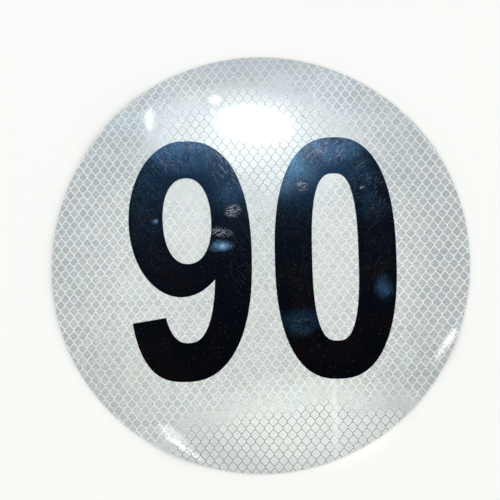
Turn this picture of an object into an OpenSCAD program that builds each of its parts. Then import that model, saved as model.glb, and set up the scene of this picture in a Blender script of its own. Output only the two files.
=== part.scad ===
// Speed limit disc, a round die-cut sticker of reflective sheeting with the numerals 9 and 0.
// It lies face up: Z points out of the face, Y towards the tops of the numerals,
// and the origin is the middle of the back of the release liner. Lengths are in millimetres.

/* [Disc] */
// Diameter of the die-cut disc
disc_d = 200; // [180:1:400]
// Thickness of the reflective sheeting with its adhesive
sheeting_t = 0.5; // [0.3:0.05:1]
// Thickness of the release liner behind the adhesive
liner_t = 0.15; // [0.08:0.01:0.3]

/* [Both numerals] */
// Height of the zero
digit_h = 115; // [95:1:140]
// Width of the stroke
stroke = 17.7; // [12:0.1:22]
// Thickness of the black film that the numerals are cut from
film_t = 0.1; // [0.05:0.01:0.3]
// Gap between the nine and the zero
digit_gap = 11; // [4:0.1:20]
// How far the pair stands right of the middle of the disc
pair_x = 2.1; // [-8:0.1:8]
// How far the pair stands above the middle of the disc
pair_y = 1.1; // [-8:0.1:8]

/* [Zero] */
// Width of the zero
zero_w = 57.3; // [48:0.1:70]
// Squareness of the zero's outside, where 2 is an ellipse
zero_square = 2.44; // [2:0.01:3.5]
// Squareness of its counter
zero_counter_square = 2.77; // [2:0.01:3.5]

/* [Nine] */
// Width of the nine
nine_w = 59.8; // [50:0.1:72]
// How far the nine passes the zero's top and foot
nine_over = 0.55; // [0:0.05:2]
// Reach of the stem's curve to the right of the foot's lowest point
stem_reach = 32.3; // [26:0.1:36]
// Squareness of the stem's curve
stem_square = 2.36; // [2:0.01:3.5]
// Reach of the hook's curve to the left of the foot's lowest point
hook_reach = 27.3; // [23:0.1:34]
// Squareness of the hook's curve
hook_square = 2.7; // [2:0.01:3.5]
// Height of the bowl
bowl_h = 75.9; // [62:0.1:90]
// Width of the whole bowl, with the part that the stem hides
bowl_w = 51.9; // [44:0.1:58]
// Wall of the bowl on its left
bowl_side = 16.8; // [12:0.1:21]
// Wall of the bowl at its foot
bowl_foot = 15.8; // [11:0.1:20]
// Wall between the counter and the outside of the stem
stem_side = 19.3; // [14:0.1:24]
// Squareness of the counter
nine_counter_square = 2.21; // [2:0.01:3.5]
// Lean of the counter, its top to the left
counter_lean = 2.6; // [0:0.1:6]
// Width of the opening inside the hook
hook_opening_w = 26.2; // [20:0.1:31]
// Height of the oval that forms the opening
hook_opening_h = 73.6; // [60:0.1:88]
// Squareness of that oval
hook_opening_square = 2.48; // [2:0.01:3.5]
// Height of the hook's cut end above the foot, where the hook reaches furthest left
hook_rise = 27.2; // [20:0.1:34]
// Slope of the cut end, rising to the right
hook_slope = 8.5; // [0:0.1:20]

/* [Hidden] */
$fn = 180;
outline_steps = 120;

// Heights of the layers, from the back of the liner up
sheeting_z = liner_t;
film_z = sheeting_z + sheeting_t;

// The pair from left to right
pair_w = nine_w + digit_gap + zero_w;
nine_left = pair_x - pair_w / 2;
nine_right = nine_left + nine_w;
zero_x = nine_right + digit_gap + zero_w / 2;

// Top and foot of the zero, which the nine's openings keep to
digit_top = pair_y + digit_h / 2;
digit_foot = pair_y - digit_h / 2;

// The lowest point of the nine, then its bowl, its counter and the opening of its hook
foot_x = nine_right - stem_reach;
bowl_x = nine_left + bowl_w / 2;
bowl_y = digit_top + nine_over - bowl_h / 2;
counter_w = nine_w - bowl_side - stem_side;
counter_h = bowl_h - nine_over - stroke - bowl_foot;
counter_x = nine_left + bowl_side + counter_w / 2;
counter_y = digit_top - stroke - counter_h / 2;
opening_x = nine_right - stroke - hook_opening_w / 2;
opening_y = digit_foot + stroke + hook_opening_h / 2;

// Where the line of the hook's cut end starts, well outside the outline
cut_left = foot_x - hook_reach - stroke;
cut_right = bowl_x;

function height_on_cut(x) = digit_foot + hook_rise + tan(hook_slope) * (x - foot_x + hook_reach);

function signed_power(base, exponent) = sign(base) * pow(abs(base), exponent);

// Closed curve through the ends of two axes. Each side, left and right, is [reach, squareness].
function oval_points(left, right, half_h) = [
    for (i = [0 : outline_steps - 1])
        let (
            turn = 360 * i / outline_steps,
            side = cos(turn) < 0 ? left : right
        )
        [
            side[0] * signed_power(cos(turn), 2 / side[1]),
            half_h * signed_power(sin(turn), 2 / side[1])
        ]
];

module oval(w, h, square) {
    side = [w / 2, square];
    polygon(oval_points(side, side, h / 2));
}

module disc(thickness) {
    cylinder(h = thickness, d = disc_d);
}

// What the tall curve loses on its left, from the cut end of the hook up to the bowl's top
module above_the_hook() {
    top = digit_top + stroke;
    polygon([
        [cut_left, height_on_cut(cut_left)],
        [cut_right, height_on_cut(cut_right)],
        [cut_right, top],
        [cut_left, top]
    ]);
}

module stem_and_hook() {
    difference() {
        translate([foot_x, pair_y])
            polygon(oval_points([hook_reach, hook_square], [stem_reach, stem_square],
                                digit_h / 2 + nine_over));
        translate([opening_x, opening_y])
            oval(hook_opening_w, hook_opening_h, hook_opening_square);
        above_the_hook();
    }
}

module nine_outline() {
    difference() {
        union() {
            stem_and_hook();
            translate([bowl_x, bowl_y]) oval(bowl_w, bowl_h, 2);
        }
        translate([counter_x, counter_y])
            rotate(counter_lean) oval(counter_w, counter_h, nine_counter_square);
    }
}

module zero_outline() {
    difference() {
        oval(zero_w, digit_h, zero_square);
        oval(zero_w - 2 * stroke, digit_h - 2 * stroke, zero_counter_square);
    }
}

module release_liner() {
    color("#EFE9DA") disc(liner_t);
}

module reflective_sheeting() {
    color("#C9CFCF")
        translate([0, 0, sheeting_z]) disc(sheeting_t);
}

module digit_nine() {
    color("#0B0D14")
        translate([0, 0, film_z]) linear_extrude(film_t) nine_outline();
}

module digit_zero() {
    color("#0B0D14")
        translate([zero_x, pair_y, film_z]) linear_extrude(film_t) zero_outline();
}

release_liner();
reflective_sheeting();
digit_nine();
digit_zero();
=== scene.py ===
"""Speed limit disc: how a die-cut sticker of prismatic sheeting with black film numerals looks.

The disc lies face up on a pale floor and is seen from above, a few degrees from its foot and its
right. Lengths are in metres. Sizes given in millimetres are turned to metres by MM. Directions on
the disc are in degrees, anticlockwise from its right.
"""
import math
import random

import bmesh
import bpy
from bpy.props import FloatProperty, FloatVectorProperty, IntProperty, PointerProperty
from bpy.types import Operator, Panel, PropertyGroup
from mathutils import Matrix, Vector


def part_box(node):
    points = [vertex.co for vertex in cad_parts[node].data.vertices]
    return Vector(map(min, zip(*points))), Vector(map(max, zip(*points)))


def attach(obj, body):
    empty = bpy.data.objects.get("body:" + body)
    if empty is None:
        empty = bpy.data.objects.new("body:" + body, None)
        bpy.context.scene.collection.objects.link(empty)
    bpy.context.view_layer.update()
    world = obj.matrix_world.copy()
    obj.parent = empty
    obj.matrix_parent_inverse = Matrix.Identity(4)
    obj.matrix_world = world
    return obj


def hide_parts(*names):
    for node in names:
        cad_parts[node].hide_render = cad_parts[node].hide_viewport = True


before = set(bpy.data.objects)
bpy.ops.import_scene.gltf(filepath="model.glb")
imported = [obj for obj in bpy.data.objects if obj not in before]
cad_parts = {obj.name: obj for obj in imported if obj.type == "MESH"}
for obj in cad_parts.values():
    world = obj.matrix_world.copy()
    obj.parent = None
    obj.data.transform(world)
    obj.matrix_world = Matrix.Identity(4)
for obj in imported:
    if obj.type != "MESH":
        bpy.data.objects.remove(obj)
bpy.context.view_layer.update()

bl_info = {
    "name": "Speed limit disc",
    "version": (1, 0, 0),
    "blender": (4, 5, 0),
    "location": "3D View > Sidebar > Disc",
    "description": "Lays a prismatic speed limit disc on a floor with its liner and numerals",
    "category": "Mesh",
}

MM = 0.001
SHARP_FROM = math.radians(35)


def linear(hex_colour):
    """Linear red, green and blue of an sRGB hex colour."""
    parts = [int(hex_colour[i:i + 2], 16) / 255 for i in (1, 3, 5)]
    return [c / 12.92 if c <= 0.04045 else ((c + 0.055) / 1.055) ** 2.4 for c in parts]


def length(name, description, default, **limits):
    """A property for a size in metres."""
    return FloatProperty(name=name, description=description, default=default,
                         subtype="DISTANCE", unit="LENGTH", precision=5, **limits)


def colour(name, description, default):
    """A property for a colour that is given as sRGB hex."""
    return FloatVectorProperty(name=name, description=description, default=linear(default),
                               subtype="COLOR", size=3, min=0, max=1)


class SheetLie(PropertyGroup):
    """How the flexible disc lies on the floor."""
    lift: length("Edge lift", "How far the raised edge stands off the floor", 1.2 * MM, min=0)
    lift_reach: length("Lift reach", "How far in from the edge the lift starts", 55 * MM, min=0)
    lift_side: FloatProperty(name="Lift side", description="Direction of the raised edge from the middle",
                             default=math.radians(163), subtype="ANGLE", unit="ROTATION")
    wave_h: length("Wave height", "Height of the slack waves across the disc", 0.16 * MM, min=0)
    wave_l: length("Wave length", "Distance from crest to crest", 118 * MM, min=0.02)


class Sheeting(PropertyGroup):
    """The microprismatic reflective sheeting."""
    cell_w: length("Cell width", "Distance from a cell to the next in its row", 4.32 * MM, min=0.001)
    cell_h: length("Cell height", "Distance from a cell to the next above it", 5.98 * MM, min=0.001)
    upright: length("Upright", "Length of the short upright side of a cell", 0.8 * MM, min=0)
    lattice_x: length("Lattice right", "Middle of an upright side, right of the disc's middle", 1.9 * MM)
    lattice_y: length("Lattice up", "The same point, above the disc's middle", -1.15 * MM)
    lattice_turn: FloatProperty(name="Lattice turn", description="Turn of the cells on the disc",
                                default=math.radians(0.25), subtype="ANGLE", unit="ROTATION")
    seal_w: length("Seal width", "Width of the flat of a pressed seal", 0.11 * MM, min=0.0001)
    corner: FloatProperty(name="Corner", description="Share of a cell's side that a blunt corner takes",
                          default=11, min=0, max=45, subtype="PERCENTAGE")
    relief: length("Relief", "How far the seals are pressed in", 0.018 * MM, min=0)
    shoulder: length("Shoulder", "Width of the slope from the seal up to the cell", 0.09 * MM, min=0)
    crown: length("Crown", "Width of the ring that eases the shoulder into the flat", 0.25 * MM, min=0)
    rim_steps: IntProperty(name="Rim steps", description="Straight steps in the cut edge",
                           default=288, min=32)
    # Middle and rim are painted light: the cells are painted paler in the middle of the disc and darker
    # towards the cut edge.
    middle: colour("Middle", "Prism cells in the middle of the disc", "#DBE1DD")
    rim: colour("Rim", "Prism cells next to the cut edge", "#BFC5C6")
    seal: colour("Seal", "Pressed seals, where the white backing shows", "#F9FCFB")
    # Painted shade: the grey that the seals are painted where the cells beside them catch glare.
    seal_shade: colour("Grime", "Grey dirt that has settled in some of the seals", "#696F6C")
    lilac: colour("Lilac", "Faint lilac clouds over the cells", "#CFCCDC")
    cream: colour("Cream", "Faint cream clouds over the cells", "#DCDED0")
    cyan: colour("Cyan", "Faint cyan clouds over the cells", "#CDE0E3")
    edge: colour("Cut edge", "Section of the laminate at the cut edge", "#C3C8C6")
    layers: colour("Layers", "Darker layers in that section", "#A9AFAE")


class NumeralFilm(PropertyGroup):
    """The black film of the numerals."""
    step: length("Mesh step", "Width of the strips that let the film follow the sheet", 2.5 * MM,
                 min=0.0005)
    film: colour("Film", "Solid colour of the film", "#010206")
    # The scuff colour also paints the pale cores of the painted sky reflection.
    haze: colour("Scuff", "Colour that fine scratches and scuffs scatter", "#CBD2DC")
    brown: colour("Brown", "Brownish clouds in the black of the film", "#080406")
    # Bloom, violet and teal are painted reflection: the blue of the sky on the black film.
    sky_and_wear: colour("Bloom", "Colour of the film where its gloss has worn off", "#4F86C0")
    violet: colour("Violet", "Violet clouds in that colour", "#6C70B4")
    teal: colour("Teal", "Teal clouds in that colour", "#5D9DB6")


class Liner(PropertyGroup):
    """The release liner behind the adhesive."""
    paper: colour("Paper", "Siliconed kraft paper", "#E9E2D2")
    fibre: colour("Fibre", "Darker fibres in the paper", "#D6CBB4")


class Stage(PropertyGroup):
    """Floor, lights and camera."""
    floor: colour("Floor", "Matt pale floor", "#F5F6F4")
    mottle: colour("Mottle", "Hardly visible clouds in the floor", "#E6E8E6")
    floor_size: length("Floor size", "Side of the floor", 24.0, min=1)
    eye: FloatVectorProperty(name="Eye", description="Place of the camera",
                             default=(29.04 * MM, -37.60 * MM, 397.67 * MM), size=3,
                             subtype="TRANSLATION", unit="LENGTH")
    tip: FloatProperty(name="Tip", description="Turn of the camera about its level axis",
                       default=math.radians(6.033), subtype="ANGLE", unit="ROTATION")
    swing: FloatProperty(name="Swing", description="Turn of the camera about the picture's upward axis",
                         default=math.radians(4.723), subtype="ANGLE", unit="ROTATION")
    roll: FloatProperty(name="Roll", description="Turn of the picture against the numerals",
                        default=math.radians(-1.05), subtype="ANGLE", unit="ROTATION")
    lens: FloatProperty(name="Lens", description="Focal length on a sensor 36 mm wide",
                        default=60.3, min=10, subtype="DISTANCE_CAMERA", unit="CAMERA")
    lamp_height: length("Lamp height", "Height of the softboxes above the floor", 1.2, min=0.6)


# Settings of a Map Range node that eases in and out, and of a Mix node that mixes colours.
EASED = {"interpolation_type": "SMOOTHSTEP"}
COLOURS = {"data_type": "RGBA"}


def add_node(tree, kind, *values, output=0, **settings):
    """Adds a shader node and returns one of its outputs.

    Values and sockets go to its inputs in order, or as one dictionary by name or place. A colour is
    given without its alpha. Settings are the node's own, such as its operation."""
    node = tree.nodes.new("ShaderNode" + kind)
    for key, value in settings.items():
        setattr(node, key, value)
    inputs = values[0] if values and isinstance(values[0], dict) else dict(enumerate(values))
    for place, value in inputs.items():
        socket = node.inputs[place]
        if isinstance(value, bpy.types.NodeSocket):
            tree.links.new(value, socket)
        elif socket.type == "RGBA":
            socket.default_value = (*value, 1)
        else:
            socket.default_value = value
    return node.outputs[output]


def new_material(name):
    """An empty material, with its node tree, the socket for its shader and the place on the piece."""
    material = bpy.data.materials.new(name)
    material.use_nodes = True
    tree = material.node_tree
    tree.nodes.clear()
    surface = tree.nodes.new("ShaderNodeOutputMaterial").inputs[0]
    return material, tree, surface, add_node(tree, "TexCoord", output="Object")


def shaded(tree, tone, factor):
    """A colour made darker or lighter by a factor."""
    grey = add_node(tree, "CombineXYZ", factor, factor, factor)
    return add_node(tree, "Mix", {0: 1.0, 6: tone, 7: grey}, output=2, blend_type="MULTIPLY", **COLOURS)


def clouded(tree, tone, clouds):
    """A tone with clouds of other colours over it.

    Each cloud has its coordinates, size and detail, the noise at which it starts and at which it is
    full, its strength and its colour."""
    for place, size, detail, start, full, strength, cloud in clouds:
        share = add_node(tree, "TexNoise", {"Vector": place, "Scale": 1 / size, "Detail": detail})
        share = add_node(tree, "MapRange", share, start, full, 0, strength, **EASED)
        tone = add_node(tree, "Mix", {0: share, 6: tone, 7: cloud}, output=2, **COLOURS)
    return tone


def oval_spot(tree, place, x, y, half_w, half_h, turn, inner, outer):
    """1 in the middle of an oval, fading to 0 outside it. Sizes are in millimetres and degrees."""
    inside = add_node(tree, "Mapping", place, (x * MM, y * MM, 0), (0, 0, math.radians(turn)),
                      (half_w * MM, half_h * MM, 1), vector_type="TEXTURE")
    away = add_node(tree, "VectorMath", inside, output="Value", operation="LENGTH")
    return add_node(tree, "MapRange", away, inner, outer, 1, 0, **EASED)


def strongest(tree, parts):
    """The strongest of several shares."""
    total = parts[0]
    for part in parts[1:]:
        total = add_node(tree, "Math", total, part, operation="MAXIMUM")
    return total


def patches(tree, place, ovals, inner, outer):
    """The strongest share of several ovals, each given as for oval_spot with its strength."""
    parts = []
    for x, y, half_w, half_h, turn, strength in ovals:
        share = oval_spot(tree, place, x, y, half_w, half_h, turn, inner, outer)
        parts.append(add_node(tree, "Math", share, strength, operation="MULTIPLY"))
    return strongest(tree, parts)


# Specks, rubbed lines and paler or darker areas on the face, some of them painted light or shade:
# middle, half width, half height, turn, strength and colour.
MARKS = (
    (24.1, 69.5, 0.5, 0.5, 0, 0.8, "#4A4642"),
    (11.7, 66.3, 1.1, 0.45, 8, 0.75, "#5A544C"),
    (15.1, 53.9, 0.5, 0.45, 0, 0.7, "#5A544C"),
    (-0.8, -1.1, 0.5, 0.5, 0, 0.6, "#4A4642"),
    (10.8, -90.1, 0.6, 0.45, 0, 0.6, "#4A4642"),
    (89.5, 1.6, 9.0, 0.6, 2, 0.3, "#8F9290"),
    (29.9, 76.0, 0.5, 16.0, 0, 0.3, "#F4F6F5"),
    # Painted shade: the cells along the top edge painted darker.
    (0, 100, 60, 14, 0, 0.35, "#A9AEB5"),
    # Painted highlight: an upright band of cells near the foot painted bright.
    (35.2, -74, 1.8, 24, 0, 0.35, "#FAFBF8"),
    (15.5, -66, 3.0, 12, 5, 0.3, "#CFE4EA"),
    # Painted light: the two areas below are painted paler in the counters of the nine and the zero.
    (-33.3, 20, 15, 26, 0, 0.26, "#F4F7F2"),
    (35.5, 1, 13, 46, 0, 0.24, "#F4F7F2"),
)


def marked(tree, place, tone):
    """A tone with the specks, lines and areas on it."""
    for x, y, half_w, half_h, turn, strength, stain in MARKS:
        share = oval_spot(tree, place, x, y, half_w, half_h, turn, 0.3, 1.2)
        share = add_node(tree, "Math", share, strength, operation="MULTIPLY")
        tone = add_node(tree, "Mix", {0: share, 6: tone, 7: linear(stain)}, output=2, **COLOURS)
    return tone


# Places on the sheeting: middle, half width, half height, turn and strength.
# Painted light where the cells catch glare: the seals are painted dark as painted shade, and the cells,
# most of all the ring beside each seal, are painted bright as a painted highlight.
PAINTED_GLARE_ZONES = (
    (18, -95, 82, 34, 6, 1.0),
    (-3, 58, 52, 32, 0, 0.8),
    (0, 98, 70, 16, 0, 0.15),
)
# Seals have turned as grey as the cells.
FADED = (
    (-64, -54, 34, 28, -40, 0.6),
    (60, 60, 26, 24, 0, 0.6),
    (-46, 66, 30, 22, 0, 0.5),
    (0, -5, 50, 70, 0, 0.55),
    (78, -50, 22, 20, 0, 0.5),
)
# Glare core: inside the hot spot the seals are painted back to their white, so that their painted shade
# stops there.
GLARE_CORE = (
    (-1, 66.5, 19, 9, -8, 1.0),
)


# How far the border of a patch wanders, and how many times in a metre.
DRIFT = 26 * MM
DRIFTS = 60.0


def ragged(tree, place):
    """Coordinates that wander, so that a patch has an uneven border."""
    drift = add_node(tree, "TexNoise", {"Vector": place, "Scale": DRIFTS, "Detail": 3}, output="Color")
    centred = add_node(tree, "VectorMath", drift, (0.5, 0.5, 0.5), operation="SUBTRACT")
    return add_node(tree, "VectorMath", centred, (DRIFT, DRIFT, 0), place, operation="MULTIPLY_ADD")


# Names of the attributes with a random number for each cell and with 1 on the ring next to its seal.
CELL_CHANCE = "cell_chance"
CELL_RING = "cell_ring"
# Where on the disc the painted light makes the cells palest.
PALEST = (-2 * MM, -16 * MM, 0)
# Corner-cube prisms 0.2 mm wide are drawn this wide, so that they show close up.
PRISM_W = 0.5 * MM


def prism_facets(tree, place):
    """Height over the valleys between the corner-cube prisms."""
    facets = None
    for angle in (0, 60, 120):
        across = (math.cos(math.radians(angle)), math.sin(math.radians(angle)), 0)
        count = add_node(tree, "VectorMath", place, across, output="Value", operation="DOT_PRODUCT")
        ridge = add_node(tree, "Math", count, PRISM_W / 2, operation="PINGPONG")
        facets = ridge if facets is None else add_node(tree, "Math", facets, ridge, operation="MINIMUM")
    return facets


def cell_greys(tree, flat, sheeting, radius):
    """Colour of the cells: painted light that makes them palest near the middle, and each a little lighter
    or darker than the next.
    """
    reach = add_node(tree, "VectorMath", flat, PALEST, output="Value", operation="DISTANCE")
    wander = add_node(tree, "TexNoise", {"Vector": flat, "Scale": 1 / (30 * MM), "Detail": 3})
    wander = add_node(tree, "Math", wander, 0.5, operation="SUBTRACT")
    wander = add_node(tree, "Math", wander, 24 * MM, operation="MULTIPLY")
    reach = add_node(tree, "Math", reach, wander, operation="ADD")
    share = add_node(tree, "MapRange", reach, 0.5 * radius, radius, **EASED)
    grey = add_node(tree, "Mix", {0: share, 6: sheeting.middle, 7: sheeting.rim}, output=2, **COLOURS)
    drawn = add_node(tree, "Attribute", output="Fac", attribute_name=CELL_CHANCE)
    chance = add_node(tree, "TexWhiteNoise", {"W": drawn}, noise_dimensions="1D").node.outputs
    lit = shaded(tree, grey, add_node(tree, "MapRange", chance["Value"], 0, 1, 0.95, 1.05, **EASED))
    return add_node(tree, "Mix", {0: 0.02, 6: lit, 7: chance["Color"]}, output=2,
                    blend_type="OVERLAY", **COLOURS)


def prism_cells(sheeting, radius):
    """Microprisms under a clear acrylic face: silver grey, with a soft metallic gleam below a gloss."""
    material, tree, surface, place = new_material("acrylic_prism_cells")
    flat = add_node(tree, "VectorMath", place, (1, 1, 0), operation="MULTIPLY")
    tone = clouded(tree, cell_greys(tree, flat, sheeting, radius), (
        (flat, 16 * MM, 2, 0.5, 0.68, 0.16, sheeting.lilac),
        (place, 22 * MM, 2, 0.5, 0.68, 0.2, sheeting.cream),
        (place, 12 * MM, 2, 0.55, 0.72, 0.3, sheeting.cyan),
    ))
    facets = prism_facets(tree, place)
    # Painted shade: the valleys between the prisms are painted darker and their ridges lighter.
    tone = shaded(tree, tone, add_node(tree, "MapRange", facets, 0, 0.16 * MM, 0.95, 1.03, **EASED))
    grain = add_node(tree, "TexNoise", {"Vector": place, "Scale": 1 / (0.85 * MM), "Detail": 2})
    tone = shaded(tree, tone, add_node(tree, "MapRange", grain, 0.34, 0.66, 0.84, 1.11, **EASED))
    ring = add_node(tree, "Attribute", output="Fac", attribute_name=CELL_RING)
    # Painted highlight: in the glare zones the cells are painted towards the white of the seals, and the
    # ring beside each seal most of all.
    bright = patches(tree, ragged(tree, place), PAINTED_GLARE_ZONES, 0.62, 1.2)
    share = add_node(tree, "Math", bright, 0.38, operation="MULTIPLY")
    tone = add_node(tree, "Mix", {0: share, 6: tone, 7: sheeting.seal}, output=2, **COLOURS)
    share = add_node(tree, "Math", bright, ring, operation="MULTIPLY")
    share = add_node(tree, "Math", share, 0.35, operation="MULTIPLY")
    tone = add_node(tree, "Mix", {0: share, 6: tone, 7: sheeting.seal}, output=2, **COLOURS)
    bump = add_node(tree, "Bump", {"Strength": 0.3, "Distance": 0.3, "Height": facets})
    shader = add_node(tree, "BsdfPrincipled", {
        "Base Color": marked(tree, place, tone), "Metallic": 0.2, "Roughness": 0.34, "IOR": 1.4,
        "Coat Weight": 1.0, "Coat Roughness": 0.1, "Coat IOR": 1.4, "Normal": bump,
    })
    tree.links.new(shader, surface)
    return material


def pressed_seals(sheeting):
    """Seals pressed through the prisms: matt white backing in fine lines, painted grey as painted shade
    where the cells beside them catch glare.
    """
    material, tree, surface, place = new_material("pressed_seal_lines")
    tone = clouded(tree, sheeting.seal, ((place, 9 * MM, 3, 0.4, 0.7, 0.25, sheeting.middle),))
    uneven = ragged(tree, place)
    # Faded seals take the cells' grey; in the glare zones the seals are painted dark as painted shade, and
    # in the glare core they are painted back to white.
    for where, ovals, inner, outer, cover in (
        (uneven, FADED, 0.5, 1.2, sheeting.middle),
        (uneven, PAINTED_GLARE_ZONES, 0.62, 1.14, sheeting.seal_shade),
        (place, GLARE_CORE, 0.7, 1.2, sheeting.seal),
    ):
        share = patches(tree, where, ovals, inner, outer)
        tone = add_node(tree, "Mix", {0: share, 6: tone, 7: cover}, output=2, **COLOURS)
    grain = add_node(tree, "TexNoise", {"Vector": place, "Scale": 1 / (0.3 * MM)})
    bump = add_node(tree, "Bump", {"Strength": 0.3, "Distance": 0.03 * MM, "Height": grain})
    shader = add_node(tree, "BsdfPrincipled", {
        "Base Color": marked(tree, place, tone), "Roughness": 0.6, "IOR": 1.4, "Normal": bump,
    })
    tree.links.new(shader, surface)
    return material


def cut_laminate(sheeting):
    """Die-cut plastic edge: clear face and backing pressed together, satin with fine cutting marks."""
    material, tree, surface, place = new_material("die_cut_laminate_edge")
    layers = add_node(tree, "Mapping", {"Vector": place, "Scale": (60, 60, 9000)})
    share = add_node(tree, "TexNoise", {"Vector": layers, "Scale": 1.0, "Detail": 2})
    share = add_node(tree, "MapRange", share, 0.35, 0.65, **EASED)
    tone = add_node(tree, "Mix", {0: share, 6: sheeting.edge, 7: sheeting.layers}, output=2, **COLOURS)
    shader = add_node(tree, "BsdfPrincipled", {"Base Color": tone, "Roughness": 0.38, "IOR": 1.49})
    tree.links.new(shader, surface)
    return material


def siliconed_paper(liner):
    """Calendered kraft paper with a silicone coat: cream, faintly mottled, with a dull sheen."""
    material, tree, surface, place = new_material("siliconed_kraft_paper")
    stretched = add_node(tree, "Mapping", {"Vector": place, "Scale": (1.0, 3.2, 1.0)})
    fibres = add_node(tree, "TexNoise", {
        "Vector": stretched, "Scale": 1 / (1.4 * MM), "Detail": 5, "Roughness": 0.7,
    })
    mottle = add_node(tree, "TexNoise", {"Vector": place, "Scale": 1 / (7 * MM), "Detail": 3})
    share = add_node(tree, "Math", add_node(tree, "MapRange", fibres, 0.42, 0.66, **EASED),
                     add_node(tree, "MapRange", mottle, 0.2, 0.8, 0.4, 1, **EASED), operation="MULTIPLY")
    tone = add_node(tree, "Mix", {0: share, 6: liner.paper, 7: liner.fibre}, output=2, **COLOURS)
    bump = add_node(tree, "Bump", {"Strength": 0.4, "Distance": 0.02 * MM, "Height": fibres})
    shader = add_node(tree, "BsdfPrincipled", {
        "Base Color": tone, "Roughness": 0.55, "Coat Weight": 0.25, "Coat Roughness": 0.35,
        "Normal": bump,
    })
    tree.links.new(shader, surface)
    return material


def scratches(tree, place, spacing, half_length, half_width, angle, spread, missing):
    """Short straight scratches about spacing apart, turned from angle by up to half of spread degrees.

    Missing is the share of places that have none, and angle may be a socket."""
    spot = add_node(tree, "TexVoronoi", {"Vector": place, "Scale": 1 / spacing},
                    voronoi_dimensions="2D").node.outputs
    chance = add_node(tree, "SeparateXYZ", spot["Color"]).node.outputs
    away = add_node(tree, "VectorMath", place, spot["Position"], operation="SUBTRACT")
    wild = add_node(tree, "Math", chance["X"], 0.5, operation="SUBTRACT")
    wild = add_node(tree, "Math", wild, math.radians(spread), operation="MULTIPLY")
    turn = add_node(tree, "Math", wild, angle, operation="ADD")
    turned = add_node(tree, "VectorRotate", {"Vector": away, "Angle": turn},
                      rotation_type="Z_AXIS", invert=True)
    sides = add_node(tree, "SeparateXYZ", turned).node.outputs
    line = add_node(tree, "MapRange", chance["Y"], missing, 1, **EASED)
    for side, full, end in (("X", 0.4 * half_length, half_length), ("Y", 0.3 * half_width, half_width)):
        distance = add_node(tree, "Math", sides[side], operation="ABSOLUTE")
        share = add_node(tree, "MapRange", distance, full, end, 1, 0, **EASED)
        line = add_node(tree, "Math", line, share, operation="MULTIPLY")
    return line


# Places on the film: middle right of and above the disc's middle, half length, half width, turn and
# strength. First the hair scratches.
HAIRS = (
    (-40, 50, 17, 8, 20, 0.55),
    (-16, 46, 16, 8, -60, 0.75),
    (-54, 28, 22, 9, 80, 0.09),
    (34, 52, 19, 10, 0, 0.9),
    (54, 34, 20, 9, -62, 0.4),
    (58, 0, 30, 9, -88, 0.07),
    (-8, 6, 36, 9, -85, 0.07),
    (-50, 4, 14, 9, -60, 0.06),
    (20, 10, 40, 9, 90, 0.04),
)
# Scuffs on it.
SCUFFS = (
    (-10.8, 24.2, 4.6, 3.6, 15, 1.0),
    (-16.9, 14.0, 7.0, 3.0, -8, 0.6),
    (22.5, 35.2, 3.4, 3.0, -20, 0.95),
    (51.0, 33.6, 1.3, 1.0, 20, 1.3),
    (32.0, 52.5, 3.4, 2.4, 10, 0.7),
)
# Where the film is painted blue as a painted reflection of the sky, and its gloss is dulled by wear.
SKY_AND_WEAR_SPOTS = (
    (-17.6, 7.5, 7.0, 3.0, 0, 1.0),
    (-16.2, 7.3, 3.6, 1.7, 0, 1.6),
    (-48.9, 20.2, 2.4, 1.7, 10, 1.1),
    (20.0, -30.0, 13.0, 7.0, 10, 0.17),
    (59.6, -14.1, 5.0, 6.5, 10, 0.3),
    (-12.0, 33.0, 12.0, 9.0, 40, 0.12),
    (14.0, 51.0, 9.0, 13.0, -25, 1.3),
    (18.0, 47.0, 14.0, 18.0, -25, 0.9),
    (32.0, 55.0, 25.0, 11.0, 0, 0.6),
    (-40.0, 56.0, 26.0, 14.0, 0, 0.45),
    (-52.0, 32.0, 14.0, 26.0, 0, 0.08),
    (52.0, 34.0, 12.0, 18.0, 20, 0.12),
)
# Where the film is painted pale: fine scuffs, and the bright cores of the painted sky reflection.
SHEEN_AND_SCUFF_SPOTS = (
    (12.5, 52.0, 7.0, 12.0, -25, 0.42),
    (27.0, 54.0, 12.0, 8.0, 10, 0.12),
    (-16.2, 7.3, 3.6, 1.4, 0, 0.5),
    (-48.6, 20.4, 1.4, 1.0, 0, 0.35),
    (-30.0, 57.0, 12.0, 5.0, 0, 0.06),
    (21.0, -29.0, 5.0, 0.9, 5, 0.08),
)


def film_scratches(tree, place, across):
    """Hair scratches, whose lean changes with the place across the film, then scuffs and dust."""
    # Scratches 0.05 mm wide are drawn 0.3 mm wide, so that they show.
    lean = add_node(tree, "MapRange", across, -12 * MM, 16 * MM, math.radians(-56), math.radians(48),
                    **EASED)
    hairs = strongest(tree, [
        scratches(tree, place, 2.0 * MM, 1.6 * MM, 0.14 * MM, lean, 70, 0.2),
        scratches(tree, place, 6.5 * MM, 5.0 * MM, 0.15 * MM, lean, 30, 0.4),
    ])
    scuffs = strongest(tree, [
        scratches(tree, place, 1.0 * MM, 1.0 * MM, 0.24 * MM, math.radians(8), 140, -0.2),
        scratches(tree, place, 2.3 * MM, 2.0 * MM, 0.24 * MM, math.radians(5), 40, 0.0),
    ])
    return hairs, scuffs, scratches(tree, place, 2.4 * MM, 0.35 * MM, 0.28 * MM, 0.0, 180, 0.7)


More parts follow.
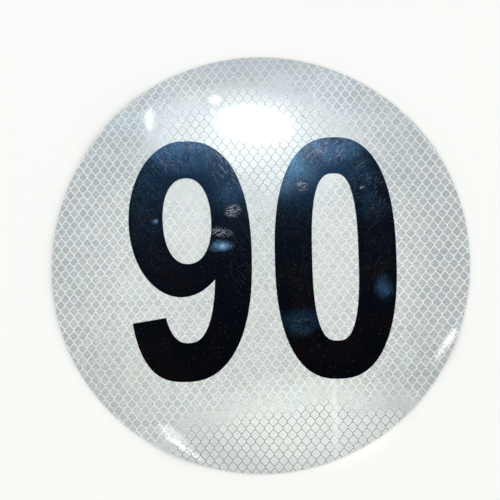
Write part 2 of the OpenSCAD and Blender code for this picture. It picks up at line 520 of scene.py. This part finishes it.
def sky_sheen_and_wear(tree, place, height, speckle):
    """Share of the painted sky reflection, which also dulls the gloss as wear: most in the listed spots,
    and elsewhere more towards the top.
    """
    mottle = add_node(tree, "TexNoise", {"Vector": place, "Scale": 1 / (9 * MM), "Detail": 3})
    mottle = add_node(tree, "MapRange", mottle, 0.32, 0.68, 0.25, 1.4, **EASED)
    sky_and_wear = patches(tree, place, SKY_AND_WEAR_SPOTS, 0.0, 1.2)
    sky_and_wear = add_node(tree, "Math", sky_and_wear, mottle, operation="MULTIPLY")
    specks = add_node(tree, "MapRange", speckle, 0, 1, 0.3, 0.95, **EASED)
    sky_and_wear = add_node(tree, "Math", sky_and_wear, specks, operation="MULTIPLY")
    # Painted reflection: the speckled sky share grows towards the top of the film.
    haze = add_node(tree, "MapRange", height, -50 * MM, 40 * MM, 0.004, 0.03, **EASED)
    haze = add_node(tree, "Math", speckle, haze, operation="MULTIPLY")
    return add_node(tree, "Math", sky_and_wear, haze, operation="ADD")


def scuffed_film(film):
    """Cast vinyl film: black gloss, with the blue of the sky painted on as a painted reflection, dulled by
    fine scratches and scuffs.
    """
    material, tree, surface, place = new_material("black_cast_vinyl_film")
    sides = add_node(tree, "SeparateXYZ", place).node.outputs
    hairs, scuffs, dust = film_scratches(tree, place, sides["X"])
    grit = add_node(tree, "TexNoise", {
        "Vector": place, "Scale": 1 / (0.75 * MM), "Detail": 4, "Roughness": 0.75,
    })
    speckle = add_node(tree, "MapRange", grit, 0.36, 0.68, **EASED)
    sky_and_wear = sky_sheen_and_wear(tree, place, sides["Y"], speckle)
    pale = [add_node(tree, "Math", dust, 0.05, operation="MULTIPLY")]
    for ovals, inner, outer, pattern, strength in (
        (HAIRS, 0.3, 1.1, hairs, 0.6),
        (SCUFFS, 0.1, 1.1, scuffs, 1.0),
        (SHEEN_AND_SCUFF_SPOTS, 0.0, 1.2, speckle, 1.0),
    ):
        share = patches(tree, place, ovals, inner, outer)
        share = add_node(tree, "Math", share, pattern, operation="MULTIPLY")
        pale.append(add_node(tree, "Math", share, strength, operation="MULTIPLY"))
    white = strongest(tree, pale)
    black = clouded(tree, film.film, ((place, 17 * MM, 2, 0.45, 0.65, 1.0, film.brown),))
    # Painted reflection of the blue sky, clouded violet and teal.
    sky = clouded(tree, film.sky_and_wear, (
        (place, 7 * MM, 3, 0.5, 0.66, 0.55, film.violet),
        (place, 14 * MM, 4, 0.48, 0.6, 0.5, film.teal),
    ))
    tone = add_node(tree, "Mix", {0: sky_and_wear, 6: black, 7: sky}, output=2, **COLOURS)
    tone = add_node(tree, "Mix", {0: white, 6: tone, 7: film.haze}, output=2, **COLOURS)
    rough = add_node(tree, "Math", speckle, 0.07, operation="MULTIPLY")
    rough = add_node(tree, "Math", 0.1, rough, operation="ADD")
    dull = add_node(tree, "Math", sky_and_wear, white, operation="MAXIMUM")
    dull = add_node(tree, "Math", dull, 0.5, operation="MULTIPLY")
    rough = add_node(tree, "Math", rough, dull, operation="ADD")
    swell = add_node(tree, "TexNoise", {"Vector": place, "Scale": 1 / (12 * MM), "Detail": 2})
    bump = add_node(tree, "Bump", {"Strength": 1.0, "Distance": 0.03 * MM, "Height": swell})
    bump = add_node(tree, "Bump", {
        "Strength": 1.0, "Distance": 0.01 * MM, "Height": grit, "Normal": bump,
    })
    shader = add_node(tree, "BsdfPrincipled", {
        "Base Color": tone, "Roughness": rough, "IOR": 1.5, "Normal": bump,
    })
    tree.links.new(shader, surface)
    return material


# Slack waves: share of the wave height, number to a wave length, how much they run right and up the
# disc, and the angle in radians that they start at.
WAVES = (
    (1.0, 1.0, 0.8, 0.6, 0.9),
    (0.6, 1.6, 0.45, -0.9, 2.2),
)
# Creases in the sheet: middle right of and above the disc's middle, the direction that the sheet
# rises in, half length, half width and rise, in millimetres and degrees.
CREASES = (
    (-38.3, -85.4, 250, 11.0, 2.0, 0.68),
    (89.5, -39.0, -35, 12.0, 2.6, 0.8),
    (-51.7, 70.4, 180, 16.0, 6.0, 0.7),
)
# Width in millimetres of the strips that the cells at a crease are cut into, and how far from its
# middle they are cut, as a multiple of its half length.
STRIP = 0.8
STRIP_REACH = 2.2
# How far a cutter stands past the slab that it cuts, and how near corners are one corner.
CUT_PAST = 10 * MM
SAME_PLACE = 1e-7


def smooth(share):
    share = min(1.0, max(0.0, share))
    return share * share * (3 - 2 * share)


def lifted(x, y, lie, radius):
    """Height of the sheet over the floor at a point of the flat disc."""
    side = x * math.cos(lie.lift_side) + y * math.sin(lie.lift_side)
    share = max(0.0, (side - radius + lie.lift_reach) / lie.lift_reach)
    height = lie.lift * share * share
    turn = math.tau / lie.wave_l
    for wave_share, number, right, up, start in WAVES:
        wave = math.sin(turn * number * (right * x + up * y) + start)
        height += wave_share * lie.wave_h * (1 + wave)
    for crease_x, crease_y, direction, half_length, half_width, rise in CREASES:
        away_x, away_y = x - crease_x * MM, y - crease_y * MM
        cosine, sine = math.cos(math.radians(direction)), math.sin(math.radians(direction))
        across = (away_x * cosine + away_y * sine) / (half_width * MM)
        along = (away_y * cosine - away_x * sine) / (half_length * MM)
        height += rise * MM * smooth((across + 1) / 2) * math.exp(-along * along)
    return height


# Where the curl draws the edge in: direction and spread in degrees, and depth in millimetres.
DRAWN_IN = (
    (65, 28, 0.5),
    (158, 27, 0.95),
    (252, 20, 0.7),
)


def drawn_in(x, y, radius):
    """How much nearer to the middle a point of the flat disc lies, as a factor."""
    here = math.degrees(math.atan2(y, x))
    factor = 1.0
    for direction, spread, depth in DRAWN_IN:
        away = (here - direction + 180) % 360 - 180
        factor -= depth * MM / radius * math.exp(-(away / spread) ** 2)
    return 1 + (factor - 1) * (math.hypot(x, y) / radius) ** 6


def square_grid(half_count, step, middle):
    """A flat grid of squares about a point."""
    grid = bmesh.new()
    bmesh.ops.create_grid(grid, x_segments=2 * half_count, y_segments=2 * half_count,
                          size=half_count * step)
    bmesh.ops.translate(grid, vec=(middle.x, middle.y, 0), verts=grid.verts)
    return grid


def cell_grid(sheeting, reach):
    """A flat grid of the six-sided cells, out to reach from the disc's middle."""
    grid = bmesh.new()
    chance = grid.faces.layers.float.new(CELL_CHANCE)
    grid.faces.layers.float.new(CELL_RING)
    count = math.ceil(2 * reach / sheeting.cell_w) + 2
    bmesh.ops.create_grid(grid, x_segments=2 * count, y_segments=2 * count, size=count)
    merged = []
    for edge in grid.edges:
        column, other_column = (round(corner.co.x) for corner in edge.verts)
        row = min(round(corner.co.y) for corner in edge.verts)
        if column == other_column and (column + row) % 2:
            merged.append(edge)
    bmesh.ops.dissolve_edges(grid, edges=merged, use_verts=False)
    zigzag = (sheeting.cell_h / 2 - sheeting.upright) / 2
    turn = Matrix.Rotation(sheeting.lattice_turn, 2)
    middle = Vector((sheeting.lattice_x, sheeting.lattice_y))
    for corner in grid.verts:
        column, row = round(corner.co.x), round(corner.co.y)
        side = -1 if (column + row) % 2 else 1
        flat = Vector((column * sheeting.cell_w / 2, (row - 0.5) * sheeting.cell_h / 2 + side * zigzag))
        corner.co.xy = turn @ flat + middle
    far = [face for face in grid.faces if face.calc_center_median().xy.length > reach]
    bmesh.ops.delete(grid, geom=far, context="FACES")
    chances = random.Random(8)
    for face in grid.faces:
        face[chance] = 1000 * chances.random()
    return grid


def cut_strips(slab):
    """Cuts the cells at each crease into strips, so that they can follow it."""
    for x, y, direction, half_length, half_width, _ in CREASES:
        turn = math.radians(direction)
        across = Vector((math.cos(turn), math.sin(turn), 0))
        middle = Vector((x, y, 0)) * MM
        count = math.ceil(2 * half_width / STRIP)
        for step in range(count + 1):
            place = middle + across * (step / count * 2 - 1) * half_width * MM
            near = [face for face in slab.faces
                    if (face.calc_center_median() - middle).length < STRIP_REACH * half_length * MM]
            parts = {part for face in near for part in (face, *face.edges, *face.verts)}
            bmesh.ops.bisect_plane(slab, geom=list(parts), dist=1e-6, plane_co=place, plane_no=across)


def thickened(slab, low, high):
    """Makes a flat grid a closed slab between two heights, and lists the faces of its top."""
    bmesh.ops.translate(slab, vec=(0, 0, low), verts=slab.verts)
    raised = bmesh.ops.extrude_face_region(slab, geom=slab.faces[:], use_keep_orig=True)
    top = [part for part in raised["geom"] if isinstance(part, bmesh.types.BMFace)]
    corners = [part for part in raised["geom"] if isinstance(part, bmesh.types.BMVert)]
    bmesh.ops.translate(slab, vec=(0, 0, high - low), verts=corners)
    bmesh.ops.recalc_face_normals(slab, faces=slab.faces)
    return top


def new_object(name, mesh):
    piece = bpy.data.objects.new(name, mesh)
    bpy.context.scene.collection.objects.link(piece)
    return piece


def cut_out(name, slab, cutter, materials):
    """The part of the slab inside the cutter, as a new mesh."""
    meshes = []
    for shape in (slab, cutter):
        mesh = bpy.data.meshes.new(name)
        shape.to_mesh(mesh)
        shape.free()
        meshes.append(mesh)
    rough_piece, tool = (new_object(name, mesh) for mesh in meshes)
    for material in materials:
        rough_piece.data.materials.append(material)
    cut = rough_piece.modifiers.new("cut", "BOOLEAN")
    cut.operation = "INTERSECT"
    cut.solver = "EXACT"
    cut.object = tool
    ready = rough_piece.evaluated_get(bpy.context.evaluated_depsgraph_get())
    mesh = bpy.data.meshes.new_from_object(ready)
    if not mesh.polygons:
        raise RuntimeError(name + " is empty after the cut")
    for spare in (rough_piece, tool):
        bpy.data.objects.remove(spare)
    return mesh


def disc_cutter(radius, steps, low, high):
    cutter = bmesh.new()
    bmesh.ops.create_cone(cutter, cap_ends=True, segments=steps, radius1=radius, radius2=radius,
                          depth=high - low)
    bmesh.ops.translate(cutter, vec=(0, 0, (low + high) / 2), verts=cutter.verts)
    return cutter


def finished(name, mesh, lie, radius):
    """Smooths and bends a cut mesh, and makes it a piece."""
    shape = bmesh.new()
    shape.from_mesh(mesh)
    bmesh.ops.remove_doubles(shape, verts=shape.verts, dist=SAME_PLACE)
    for face in shape.faces:
        face.smooth = True
    for edge in shape.edges:
        edge.smooth = len(edge.link_faces) == 2 and edge.calc_face_angle(0) < SHARP_FROM
    for corner in shape.verts:
        corner.co.z += lifted(corner.co.x, corner.co.y, lie, radius)
        corner.co.xy *= drawn_in(corner.co.x, corner.co.y, radius)
    shape.to_mesh(mesh)
    shape.free()
    return new_object(name, mesh)


def slab_depth(node):
    low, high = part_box(node)
    return low.z, high.z


class DISC_OT_release_liner(Operator):
    """Cuts the release liner and lays it under the sheeting"""
    bl_idname = "disc.release_liner"
    bl_label = "Release liner"

    def execute(self, context):
        scene = context.scene
        sheeting = scene.disc_sheeting
        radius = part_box("release_liner")[1].x
        low, high = slab_depth("release_liner")
        slab = cell_grid(sheeting, radius + sheeting.cell_h)
        thickened(slab, low, high)
        cut_strips(slab)
        cutter = disc_cutter(radius, sheeting.rim_steps, low - CUT_PAST, high + CUT_PAST)
        name = "release_liner_paper"
        mesh = cut_out(name, slab, cutter, [siliconed_paper(scene.disc_liner)])
        piece = finished(name, mesh, scene.disc_lie, radius)
        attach(piece, "root")
        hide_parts("release_liner")
        return {"FINISHED"}


class DISC_OT_reflective_sheeting(Operator):
    """Presses the diamond seals into the sheeting and cuts it round"""
    bl_idname = "disc.reflective_sheeting"
    bl_label = "Reflective sheeting"

    def execute(self, context):
        scene = context.scene
        sheeting = scene.disc_sheeting
        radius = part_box("reflective_sheeting")[1].x
        low, high = slab_depth("reflective_sheeting")
        slab = cell_grid(sheeting, radius + sheeting.cell_h)
        self.press_seals(slab, thickened(slab, low, high - sheeting.relief), sheeting)
        cut_strips(slab)
        cutter = disc_cutter(radius, sheeting.rim_steps, low - CUT_PAST, high + CUT_PAST)
        name = "prismatic_sheeting"
        materials = [pressed_seals(sheeting), prism_cells(sheeting, radius), cut_laminate(sheeting)]
        mesh = cut_out(name, slab, cutter, materials)
        for face in mesh.polygons:
            if abs(face.normal.z) < 0.5:
                face.material_index = 2
        piece = finished(name, mesh, scene.disc_lie, radius)
        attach(piece, "root")
        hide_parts("reflective_sheeting")
        return {"FINISHED"}

    def press_seals(self, slab, cells, sheeting):
        """Leaves a flat seal round each cell and raises the cell on a sloping shoulder."""
        bmesh.ops.inset_individual(slab, faces=cells, thickness=sheeting.seal_w / 2, depth=0,
                                   use_even_offset=True)
        for face in cells:
            face.material_index = 1
        tips = {corner for face in cells for corner in (max(face.verts, key=lambda v: v.co.y),
                                                        min(face.verts, key=lambda v: v.co.y))}
        cut = bmesh.ops.bevel(slab, geom=list(tips), affect="VERTICES", offset=sheeting.corner,
                              offset_type="PERCENT", segments=1, profile=0.5, material=-1)
        for face in cut["faces"]:
            face.material_index = 0
        cells = [face for face in slab.faces if face.material_index == 1]
        slope = bmesh.ops.inset_individual(slab, faces=cells, thickness=sheeting.shoulder,
                                           depth=sheeting.relief, use_even_offset=True)
        for face in slope["faces"]:
            face.material_index = 0
        crown = bmesh.ops.inset_individual(slab, faces=cells, thickness=sheeting.crown, depth=0,
                                           use_even_offset=True)
        ring = slab.faces.layers.float[CELL_RING]
        for face in crown["faces"]:
            face[ring] = 1


class DISC_OT_numerals(Operator):
    """Cuts the two numerals from black film and lays them on the sheeting"""
    bl_idname = "disc.numerals"
    bl_label = "Numerals"

    def execute(self, context):
        scene = context.scene
        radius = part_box("reflective_sheeting")[1].x
        step = scene.disc_film.step
        film = scuffed_film(scene.disc_film)
        for node, name in (("digit_nine", "film_nine"), ("digit_zero", "film_zero")):
            corner, far_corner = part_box(node)
            middle = (corner + far_corner).xy / 2
            count = math.ceil((far_corner - corner).y / 2 / step) + 1
            slab = square_grid(count, step, middle)
            thickened(slab, corner.z, far_corner.z)
            cutter = bmesh.new()
            cutter.from_mesh(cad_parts[node].data)
            bmesh.ops.remove_doubles(cutter, verts=cutter.verts, dist=SAME_PLACE)
            for point in cutter.verts:
                point.co.z = -CUT_PAST if point.co.z < middle_height(node) else CUT_PAST
            bmesh.ops.recalc_face_normals(cutter, faces=cutter.faces)
            mesh = cut_out(name, slab, cutter, [film])
            piece = finished(name, mesh, scene.disc_lie, radius)
            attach(piece, "root")
            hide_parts(node)
        return {"FINISHED"}


def middle_height(node):
    low, high = slab_depth(node)
    return (low + high) / 2


def pale_floor(settings):
    """Matt painted board with a hardly visible mottle."""
    material, tree, surface, place = new_material("matt_pale_floor")
    tone = clouded(tree, settings.floor, ((place, 0.5, 2, 0.3, 0.7, 0.03, settings.mottle),))
    shader = add_node(tree, "BsdfDiffuse", {"Color": tone, "Roughness": 0.0})
    tree.links.new(shader, surface)
    return material


# Lamps over the top of the disc: name, middle right of and above the disc's middle, how far below
# the lamp height it hangs, width and depth, all in metres, and its red, green and blue brightness.
SOFTBOXES = (
    ("upper_softbox", -0.121, 0.36, 0.0, (0.42, 0.17), (0.25, 1.35, 3.1)),
    ("upper_core", -0.07, 0.384, 0.01, (0.157, 0.077), (7.0, 7.0, 6.5)),
)


def softbox(name, middle, size, brightness):
    """A rectangular lamp that faces the floor. White in the picture has a brightness of 1."""
    data = bpy.data.lights.new(name, "AREA")
    data.shape = "RECTANGLE"
    data.size, data.size_y = size
    peak = max(brightness)
    data.color = [part / peak for part in brightness]
    data.energy = peak * math.pi * size[0] * size[1]
    lamp = bpy.data.objects.new(name, data)
    lamp.location = middle
    bpy.context.scene.collection.objects.link(lamp)


# Red, green and blue of the sunlight, and the angle of a beam.
SUNLIGHT = (1.0, 0.965, 0.87)
BEAM = math.radians(1)
# Sunlit patches on the disc: middle right of and above its middle in millimetres, the direction that
# the light comes from and its height in degrees, width of the beam in millimetres, softness, and
# brightness that it adds to white.
SUN_PATCHES = (
    (-5, 68.5, 172, 40, 14.5, 1.0, 1.5),
    (7, 63.5, 172, 33, 13.5, 1.0, 1.5),
    (0, 67, 165, 30, 24.0, 1.0, 0.34),
    (-14, 65, 180, 30, 48.0, 0.8, 0.3),
    (20, 56, 180, 30, 58.0, 1.0, 0.2),
    (-18.6, 79.3, 180, 55, 6.2, 0.9, 0.6),
    (-51.3, 69.0, 90, 20, 5.2, 0.9, 0.7),
    (22, -76, 0, 30, 50.0, 1.0, 0.25),
    (-32.0, -89.9, 146, 8, 2.7, 0.8, 0.85),
    (-41.5, -81.5, 146, 22, 8.0, 1.0, 0.45),
    (86.8, -42.0, 56, 8, 2.9, 0.6, 1.1),
)


def sun_patch(x, y, side, rise, width, softness, gain):
    """A narrow beam that lights an oval patch of the disc."""
    data = bpy.data.lights.new("sun_patch", "SPOT")
    data.spot_size = BEAM
    distance = width * MM / 2 / math.tan(data.spot_size / 2)
    data.energy = gain * 4 * math.pi ** 2 * distance ** 2 / math.sin(math.radians(rise))
    data.color = SUNLIGHT
    data.spot_blend = softness
    data.shadow_soft_size = 0.5 * MM
    lamp = bpy.data.objects.new("sun_patch", data)
    turned = Matrix.Rotation(math.radians(side), 3, "Z") @ Matrix.Rotation(math.radians(90 - rise), 3, "Y")
    lamp.location = Vector((x * MM, y * MM, MM)) + distance * (turned @ Vector((0, 0, 1)))
    lamp.rotation_euler = turned.to_euler()
    bpy.context.scene.collection.objects.link(lamp)


# Brightness of the studio round the disc, against the sine of the height above the horizon.
# It is white all round and dark overhead, where the camera looks down through the opening.
STUDIO = ((0.0, 1.12), (0.3, 1.12), (0.5, 1.31), (0.84, 1.31), (0.95, 0.05), (1.0, 0.02))


def light_tent():
    """The studio round the disc, as the world."""
    world = bpy.data.worlds.new("light_tent")
    world.use_nodes = True
    bpy.context.scene.world = world
    tree = world.node_tree
    tree.nodes.clear()
    direction = add_node(tree, "TexCoord", output="Generated")
    height = add_node(tree, "SeparateXYZ", direction, output="Z")
    ramp = add_node(tree, "ValToRGB", height)
    stops = ramp.node.color_ramp.elements
    while len(stops) < len(STUDIO):
        stops.new(0.5)
    for stop, (sine, strength) in zip(stops, STUDIO):
        stop.position = sine
        stop.color = (strength, strength * 0.99, strength * 0.96, 1)
    sky = add_node(tree, "Background", ramp, 1.0)
    tree.links.new(sky, tree.nodes.new("ShaderNodeOutputWorld").inputs[0])


class DISC_OT_stage(Operator):
    """Makes the floor, the lamps and the camera"""
    bl_idname = "disc.stage"
    bl_label = "Stage"

    def execute(self, context):
        scene = context.scene
        settings = scene.disc_stage
        shape = bmesh.new()
        bmesh.ops.create_grid(shape, x_segments=1, y_segments=1, size=settings.floor_size / 2)
        mesh = bpy.data.meshes.new("floor")
        shape.to_mesh(mesh)
        shape.free()
        mesh.materials.append(pale_floor(settings))
        new_object("floor", mesh)
        for name, x, y, drop, size, brightness in SOFTBOXES:
            softbox(name, (x, y, settings.lamp_height - drop), size, brightness)
        for patch in SUN_PATCHES:
            sun_patch(*patch)
        light_tent()
        self.camera(scene, settings)
        scene.view_settings.view_transform = "Standard"
        return {"FINISHED"}

    def camera(self, scene, settings):
        data = bpy.data.cameras.new("camera")
        data.sensor_width = 36
        data.lens = settings.lens
        data.clip_start = 0.01
        data.clip_end = 100
        camera = bpy.data.objects.new("camera", data)
        camera.location = settings.eye
        turned = (Matrix.Rotation(settings.roll, 3, "Z") @ Matrix.Rotation(settings.swing, 3, "Y")
                  @ Matrix.Rotation(settings.tip, 3, "X"))
        camera.rotation_euler = turned.to_euler()
        scene.collection.objects.link(camera)
        scene.camera = camera


class DISC_PT_panel(Panel):
    """Lists the steps and sizes of the disc"""
    bl_idname = "DISC_PT_panel"
    bl_label = "Speed limit disc"
    bl_space_type = "VIEW_3D"
    bl_region_type = "UI"
    bl_category = "Disc"

    def draw(self, context):
        for operator in OPERATORS:
            self.layout.operator(operator.bl_idname)
        for name, group in GROUPS.items():
            settings = getattr(context.scene, name)
            box = self.layout.box()
            for prop in group.__annotations__:
                box.prop(settings, prop)


GROUPS = {
    "disc_lie": SheetLie,
    "disc_sheeting": Sheeting,
    "disc_film": NumeralFilm,
    "disc_liner": Liner,
    "disc_stage": Stage,
}
OPERATORS = (DISC_OT_release_liner, DISC_OT_reflective_sheeting, DISC_OT_numerals, DISC_OT_stage)


def register():
    for cls in (*GROUPS.values(), *OPERATORS, DISC_PT_panel):
        bpy.utils.register_class(cls)
    for name, group in GROUPS.items():
        setattr(bpy.types.Scene, name, PointerProperty(type=group))


def unregister():
    for name in GROUPS:
        delattr(bpy.types.Scene, name)
    for cls in (DISC_PT_panel, *reversed(OPERATORS), *reversed(GROUPS.values())):
        bpy.utils.unregister_class(cls)


def main():
    register()
    bpy.ops.disc.release_liner()
    bpy.ops.disc.reflective_sheeting()
    bpy.ops.disc.numerals()
    bpy.ops.disc.stage()


if __name__ == "__main__":
    main()
